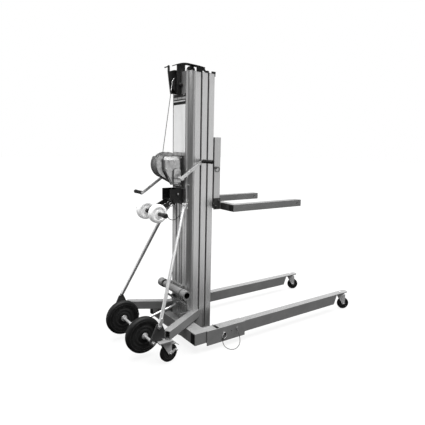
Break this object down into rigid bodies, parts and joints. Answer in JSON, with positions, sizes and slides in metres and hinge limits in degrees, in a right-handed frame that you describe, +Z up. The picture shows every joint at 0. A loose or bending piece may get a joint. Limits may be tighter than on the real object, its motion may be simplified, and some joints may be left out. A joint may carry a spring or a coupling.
{
  "type": "duct lift",
  "caption": "Hand-winched material lift: nested aluminium mast sections raise a carriage with two forks over a straddle base on casters, with loading wheels behind.",
  "frame": {"origin": "on the floor, in the middle of the object's box without its loose wires", "axes": "+Z up, +Y forward along the forks and legs, +X to the right of someone who stands at the winch"},
  "size_m": [0.788, 2.061, 1.979],
  "materials": {
    "aluminium": "satin extruded",
    "frame_paint": "satin grey paint",
    "black_paint": "satin black paint",
    "black_plastic": "matte moulded",
    "white_plastic": "matte moulded",
    "zinc": "zinc plated",
    "wire": "steel wire rope",
    "tyre": "solid rubber"
  },
  "bodies": {
    "frame": {"outer_mast": "aluminium", "wear_pads_1": "black_plastic", "pulley_bracket": "black_paint", "hoist_cable": "wire", "cable_drop_2": "wire", "winch_mount": "black_paint", "winch_frame": "frame_paint", "winch_gear_cover": "frame_paint", "loading_bracket": "black_paint", "loading_axle": "black_plastic", "braces": "zinc", "base_frame": "frame_paint", "leg_sleeves": "frame_paint", "leg_right": "frame_paint", "leg_left": "frame_paint", "rear_arms": "frame_paint", "axle_brackets": "black_paint", "transport_axle": "zinc", "axle_strut": "zinc", "leg_lanyard": "wire", "loading_lanyard": "wire", "stabilizer_sockets": "frame_paint"},
    "mast_2": {"mast_section_2": "aluminium", "section_2_head": "black_paint", "cable_section_2": "wire", "cable_drop_3": "wire"},
    "mast_3": {"mast_section_3": "aluminium", "section_3_head": "black_paint", "cable_section_3": "wire", "cable_drop_carriage": "wire"},
    "lift_carriage": {"carriage": "aluminium", "fork_frame": "frame_paint"},
    "drum": {"winch_drum": "zinc", "cable_winding": "wire"},
    "crank": {"crank_shaft": "zinc", "crank_arms": "zinc"},
    "grip_right": {"crank_grip_right": "black_plastic"},
    "grip_left": {"crank_grip_left": "black_plastic"},
    "pulley": {"top_pulley": "zinc"},
    "sheave_low_2": {"lower_sheave_2": "zinc"},
    "sheave_up_2": {"upper_sheave_2": "zinc"},
    "sheave_low_3": {"lower_sheave_3": "zinc"},
    "sheave_up_3": {"upper_sheave_3": "zinc"},
    "loading_roller_right": {"loading_wheel_right": "white_plastic"},
    "loading_roller_left": {"loading_wheel_left": "white_plastic"},
    "transport_right": {"transport_wheel_right": "tyre"},
    "transport_left": {"transport_wheel_left": "tyre"},
    "pin_right": {"leg_pin_right": "zinc"},
    "pin_left": {"leg_pin_left": "zinc"},
    "pin_carriage": {"carriage_pin": "zinc"},
    "rear_swivel_right": {"rear_caster_fork_right": "zinc"},
    "rear_roller_right": {"rear_caster_wheel_right": "tyre"},
    "pedal_right": {"brake_pedal_right": "zinc"},
    "front_swivel_right": {"front_caster_fork_right": "zinc"},
    "front_roller_right": {"front_caster_wheel_right": "tyre"},
    "rear_swivel_left": {"rear_caster_fork_left": "zinc"},
    "rear_roller_left": {"rear_caster_wheel_left": "tyre"},
    "pedal_left": {"brake_pedal_left": "zinc"},
    "front_swivel_left": {"front_caster_fork_left": "zinc"},
    "front_roller_left": {"front_caster_wheel_left": "tyre"}
  },
  "joints": [
    {"name": "mast_2_lift", "type": "slide", "parent": "frame", "child": "mast_2", "axis": [0, 0, 1], "range_m": [0, 1.4], "deforming": ["cable_drop_2"]},
    {"name": "mast_3_lift", "type": "slide", "parent": "mast_2", "child": "mast_3", "axis": [0, 0, 1], "range_m": [0, 1.4], "deforming": ["cable_drop_3"]},
    {"name": "carriage_lift", "type": "slide", "parent": "mast_3", "child": "lift_carriage", "axis": [0, 0, 1], "range_m": [-0.8, 0.42], "deforming": ["cable_drop_carriage"]},
    {"name": "drum_spin", "type": "hinge", "parent": "frame", "child": "drum", "pos_m": [0, -0.6439, 1.284], "axis": [1, 0, 0], "range_deg": [-917.7, 482.3]},
    {"name": "crank_spin", "type": "hinge", "parent": "frame", "child": "crank", "pos_m": [0, -0.5914, 1.19307], "axis": [1, 0, 0], "range_deg": [-1926.1, 3667.9]},
    {"name": "pulley_spin", "type": "hinge", "parent": "frame", "child": "pulley", "pos_m": [0, -0.5455, 1.827], "axis": [1, 0, 0], "range_deg": [-917.7, 482.3]},
    {"name": "sheave_low_2_spin", "type": "hinge", "parent": "mast_2", "child": "sheave_low_2", "pos_m": [0, -0.4575, 0.17], "axis": [0, 1, 0], "range_deg": [-860.4, 1638]},
    {"name": "sheave_up_2_spin", "type": "hinge", "parent": "mast_2", "child": "sheave_up_2", "pos_m": [-0.028, -0.4295, 1.938], "axis": [1, 0, 0], "range_deg": [-1638, 860.4]},
    {"name": "sheave_low_3_spin", "type": "hinge", "parent": "mast_3", "child": "sheave_low_3", "pos_m": [0, -0.4015, 0.17], "axis": [0, 1, 0], "range_deg": [-1638, 860.4]},
    {"name": "sheave_up_3_spin", "type": "hinge", "parent": "mast_3", "child": "sheave_up_3", "pos_m": [0.028, -0.3735, 1.926], "axis": [1, 0, 0], "range_deg": [-1638, 860.4]},
    {"name": "grip_right_spin", "type": "hinge", "parent": "crank", "child": "grip_right", "pos_m": [0.19, -0.42245, 1.30918], "axis": [1, 0, 0], "continuous": true},
    {"name": "loading_wheel_right_spin", "type": "hinge", "parent": "frame", "child": "loading_roller_right", "pos_m": [0.093, -0.7555, 0.958], "axis": [1, 0, 0], "continuous": true},
    {"name": "transport_wheel_right_spin", "type": "hinge", "parent": "frame", "child": "transport_right", "pos_m": [0.172, -0.9055, 0.16], "axis": [1, 0, 0], "continuous": true},
    {"name": "leg_pin_right_pull", "type": "slide", "parent": "frame", "child": "pin_right", "axis": [1, 0, 0], "range_m": [0, 0.08]},
    {"name": "rear_caster_right_swivel", "type": "hinge", "parent": "frame", "child": "rear_swivel_right", "pos_m": [0.314, -0.8255, 0], "axis": [0, 0, 1], "continuous": true},
    {"name": "rear_caster_right_roll", "type": "hinge", "parent": "rear_swivel_right", "child": "rear_roller_right", "pos_m": [0.31013, -0.7887, 0.0625], "axis": [0.9945, 0.1045, 0], "continuous": true},
    {"name": "front_caster_right_swivel", "type": "hinge", "parent": "frame", "child": "front_swivel_right", "pos_m": [0.311, 0.9485, 0], "axis": [0, 0, 1], "continuous": true},
    {"name": "front_caster_right_roll", "type": "hinge", "parent": "front_swivel_right", "child": "front_roller_right", "pos_m": [0.328, 0.97679, 0.05], "axis": [0.8572, -0.515, 0], "continuous": true},
    {"name": "brake_pedal_right_press", "type": "hinge", "parent": "rear_swivel_right", "child": "pedal_right", "pos_m": [0.30634, -0.7526, 0.1253], "axis": [0.9945, 0.1045, 0], "range_deg": [-15, 0]},
    {"name": "grip_left_spin", "type": "hinge", "parent": "crank", "child": "grip_left", "pos_m": [-0.19, -0.76035, 1.07695], "axis": [1, 0, 0], "continuous": true},
    {"name": "loading_wheel_left_spin", "type": "hinge", "parent": "frame", "child": "loading_roller_left", "pos_m": [-0.093, -0.7555, 0.958], "axis": [1, 0, 0], "continuous": true},
    {"name": "transport_wheel_left_spin", "type": "hinge", "parent": "frame", "child": "transport_left", "pos_m": [-0.172, -0.9055, 0.16], "axis": [1, 0, 0], "continuous": true},
    {"name": "leg_pin_left_pull", "type": "slide", "parent": "frame", "child": "pin_left", "axis": [-1, 0, 0], "range_m": [0, 0.08]},
    {"name": "rear_caster_left_swivel", "type": "hinge", "parent": "frame", "child": "rear_swivel_left", "pos_m": [-0.314, -0.8255, 0], "axis": [0, 0, 1], "continuous": true},
    {"name": "rear_caster_left_roll", "type": "hinge", "parent": "rear_swivel_left", "child": "rear_roller_left", "pos_m": [-0.31013, -0.7887, 0.0625], "axis": [0.9945, -0.1045, 0], "continuous": true},
    {"name": "front_caster_left_swivel", "type": "hinge", "parent": "frame", "child": "front_swivel_left", "pos_m": [-0.311, 0.9485, 0], "axis": [0, 0, 1], "continuous": true},
    {"name": "front_caster_left_roll", "type": "hinge", "parent": "front_swivel_left", "child": "front_roller_left", "pos_m": [-0.294, 0.97679, 0.05], "axis": [0.8572, -0.515, 0], "continuous": true},
    {"name": "brake_pedal_left_press", "type": "hinge", "parent": "rear_swivel_left", "child": "pedal_left", "pos_m": [-0.30634, -0.7526, 0.1253], "axis": [0.9945, -0.1045, 0], "range_deg": [-15, 0]},
    {"name": "carriage_pin_pull", "type": "slide", "parent": "lift_carriage", "child": "pin_carriage", "axis": [1, 0, 0], "range_m": [0, 0.025]}
  ],
  "couplings": [
    {"joint": "drum_spin", "follows": "carriage_lift", "rad_per_m": 20},
    {"joint": "crank_spin", "follows": "carriage_lift", "rad_per_m": -80},
    {"joint": "pulley_spin", "follows": "carriage_lift", "rad_per_m": 20},
    {"joint": "sheave_low_2_spin", "follows": "carriage_lift", "rad_per_m": -35.714},
    {"joint": "sheave_up_2_spin", "follows": "carriage_lift", "rad_per_m": 35.714},
    {"joint": "sheave_low_3_spin", "follows": "carriage_lift", "rad_per_m": 35.714},
    {"joint": "sheave_up_3_spin", "follows": "carriage_lift", "rad_per_m": 35.714}
  ]
}
